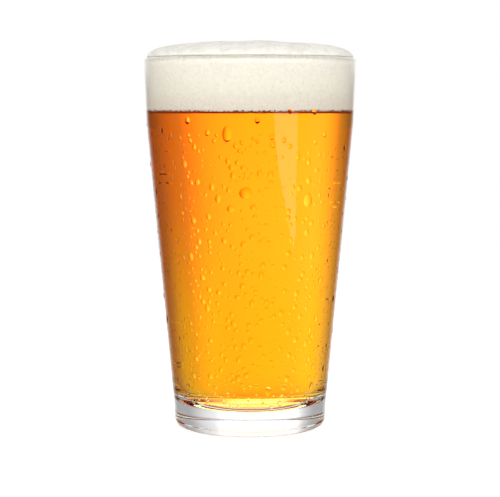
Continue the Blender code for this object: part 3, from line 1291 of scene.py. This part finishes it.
@dataclass(frozen=True)
class PaleFloor:
    """The plain pale floor, which fades out into the white round it."""

    radius: float = 0.9
    segments: int = 128
    grain: float = 30.0 * MM
    tones: Span = (0.84, 0.87)
    glow: float = 0.65
    roughness: float = 0.9
    fade: Span = (0.2, 0.85)

    def material(self) -> bpy.types.Material:
        """Makes the finish."""
        material, bench, shader = new_material("pale floor")
        where = bench.add("ShaderNodeTexCoord").outputs["Object"]
        away = bench.add("ShaderNodeVectorMath", {0: where}, operation="LENGTH").outputs["Value"]
        tone = bench.blend(bench.noise(where, self.grain), *((tone,) * 3 for tone in self.tones))
        bench.tree.links.new(tone, shader.inputs["Base Color"])
        shader.inputs["Roughness"].default_value = self.roughness
        shader.inputs["Specular IOR Level"].default_value = 0.0
        shader.inputs["Emission Color"].default_value = (1.0, 1.0, 1.0, 1.0)
        shader.inputs["Emission Strength"].default_value = self.glow
        clear = bench.add("ShaderNodeBsdfTransparent")
        mixed = bench.add("ShaderNodeMixShader", {0: bench.ease(away, *self.fade)})
        output = material.node_tree.nodes["Material Output"]
        bench.tree.links.new(shader.outputs["BSDF"], mixed.inputs[1])
        bench.tree.links.new(clear.outputs["BSDF"], mixed.inputs[2])
        bench.tree.links.new(mixed.outputs["Shader"], output.inputs["Surface"])
        return material

    def build(self) -> None:
        """Lays the floor, out of sight of the gloss and of what is seen through the glass."""
        turns = np.arange(self.segments) * math.tau / self.segments
        across, along = self.radius * np.cos(turns), self.radius * np.sin(turns)
        points = np.stack((across, along, np.zeros(self.segments)), axis=1)
        floor = closed_mesh("floor", points, [tuple(range(self.segments))])
        floor.data.materials.append(self.material())
        hide_from(floor, Ray.GLOSSY, Ray.TRANSMISSION)


@dataclass
class Studio:
    """The plain studio: a pale floor, soft light, and a bright screen behind the glass.

    The softbox's corners are millimetres right of and above the camera's line of sight.
    """

    camera: bpy.types.Object
    reach: float
    back_light: BackLight = field(default_factory=BackLight)
    floor: PaleFloor = field(default_factory=PaleFloor)
    ambient: float = 0.66
    from_above: float = 0.09
    above: Span = (0.0, 0.8)
    through_glass: float = 1.0
    seen_white: float = 1.0
    mirrored: float = 0.06
    screen_radius: float = 220.0 * MM
    screen_half: float = 300.0 * MM
    screen_turn: float = 95.0
    screen_columns: int = 64
    softbox_strength: float = 1.3
    softbox_ahead: float = 500.0 * MM
    softbox_corners: tuple[Span, ...] = (
        (227.0, -36.0), (385.0, -42.0), (633.0, -53.0), (703.0, -190.0), (792.0, -268.0),
        (750.0, -279.0), (583.0, -230.0), (414.0, -175.0), (316.0, -141.0), (264.0, -114.0),
    )
    key_power: float = 3.0
    key_size: float = 0.7
    key_above: float = 0.35
    key_ahead: float = 0.75

    def world(self) -> None:
        """Lights the scene from all round, and is white behind the glass and dark in its gloss."""
        world = bpy.data.worlds.new("studio")
        world.use_nodes = True
        bpy.context.scene.world = world
        bench = Bench(world.node_tree)
        path = bench.add("ShaderNodeLightPath").outputs
        seen = bench.product(path["Is Camera Ray"], self.seen_white - self.ambient)
        dark = bench.product(bench.mirrored_ray(), self.mirrored - self.ambient)
        through = bench.product(path["Is Transmission Ray"], self.through_glass - self.ambient)
        direction = bench.add("ShaderNodeTexCoord").outputs["Generated"]
        upward = bench.add("ShaderNodeSeparateXYZ", {"Vector": direction}).outputs["Z"]
        more = bench.ease(upward, *self.above, 0.0, self.from_above)
        around = bench.math("ADD", bench.product(more, path["Is Diffuse Ray"]), self.ambient)
        strength = bench.math("ADD", bench.math("ADD", seen, dark), bench.math("ADD", through, around))
        background = world.node_tree.nodes["Background"]
        background.inputs["Color"].default_value = (1.0, 1.0, 1.0, 1.0)
        world.node_tree.links.new(strength, background.inputs["Strength"])

    def with_camera(self, thing: bpy.types.Object) -> None:
        """Makes a studio object keep its place beside the camera, so that every side is lit alike."""
        thing.parent = self.camera

    def screen(self) -> None:
        """Hangs a curved screen behind the glass, bright in the middle and dim at its sides."""
        columns = self.screen_columns
        turns = np.radians(np.linspace(-self.screen_turn, self.screen_turn, columns + 1))
        points = []
        for level in (-self.screen_half, self.screen_half):
            for turn in turns:
                away = -self.reach - self.screen_radius * math.cos(turn)
                points.append((self.screen_radius * math.sin(turn), level, away))
        faces = [(i, i + 1, i + columns + 2, i + columns + 1) for i in range(columns)]
        screen = closed_mesh("back_screen", np.array(points), faces)
        places = screen.data.uv_layers.new(name="screen")
        for loop in screen.data.loops:
            degrees = math.degrees(turns[loop.vertex_index % (columns + 1)])
            places.data[loop.index].uv = (degrees, points[loop.vertex_index][1] / MM)
        screen.data.materials.append(self.back_light.material())
        hide_from(screen, Ray.CAMERA, Ray.DIFFUSE, Ray.SHADOW, Ray.SCATTER)
        self.with_camera(screen)

    def softbox(self) -> None:
        """Hangs the softbox whose reflection is the pale wedge on the front of the glass."""
        away = self.softbox_ahead - self.reach
        points = np.array([(x * MM, y * MM, away) for x, y in self.softbox_corners])
        softbox = closed_mesh("softbox", points, [tuple(range(len(points)))])
        material = bpy.data.materials.new("softbox light")
        material.use_nodes = True
        tree = material.node_tree
        tree.nodes.remove(tree.nodes["Principled BSDF"])
        glow = Bench(tree).add("ShaderNodeEmission", {"Strength": self.softbox_strength})
        tree.links.new(glow.outputs["Emission"], tree.nodes["Material Output"].inputs["Surface"])
        softbox.data.materials.append(material)
        hide_from(softbox, Ray.CAMERA, Ray.DIFFUSE, Ray.TRANSMISSION, Ray.SHADOW, Ray.SCATTER)
        self.with_camera(softbox)

    def key(self) -> None:
        """Hangs the large soft light above the camera."""
        data = bpy.data.lights.new("key light", "AREA")
        data.shape = "SQUARE"
        data.size = self.key_size
        data.energy = self.key_power
        key = bpy.data.objects.new("key_light", data)
        bpy.context.scene.collection.objects.link(key)
        key.location = (0.0, self.key_above, self.key_ahead - self.reach)
        aim = Vector((0.0, 0.0, -self.reach)) - Vector(key.location)
        key.rotation_euler = aim.to_track_quat("-Z", "Y").to_euler()
        hide_from(key, Ray.GLOSSY)
        self.with_camera(key)

    def bounces(self) -> None:
        """Lets light pass and turn often enough inside the glass, and shows colours as they are."""
        bpy.context.scene.view_settings.view_transform = "Standard"
        cycles = bpy.context.scene.cycles
        cycles.max_bounces = 24
        cycles.glossy_bounces = 16
        cycles.transmission_bounces = 20
        cycles.diffuse_bounces = 12
        cycles.blur_glossy = 0.0

    def build(self) -> None:
        """Builds the studio."""
        self.bounces()
        self.world()
        self.floor.build()
        self.screen()
        self.softbox()
        self.key()


def main() -> None:
    """Builds the camera, the studio and each piece in order, and reports them."""
    logging.basicConfig(level=logging.INFO, format="%(name)s: %(message)s")
    lens = PhotoCamera()
    Studio(lens.build(), lens.reach()).build()
    for maker in (Glass(), Beer(), FoamHead(), WaterBeads()):
        piece = maker.build()
        log.info("%s: %d faces", piece.name, len(piece.data.polygons))


if __name__ == "__main__":
    main()
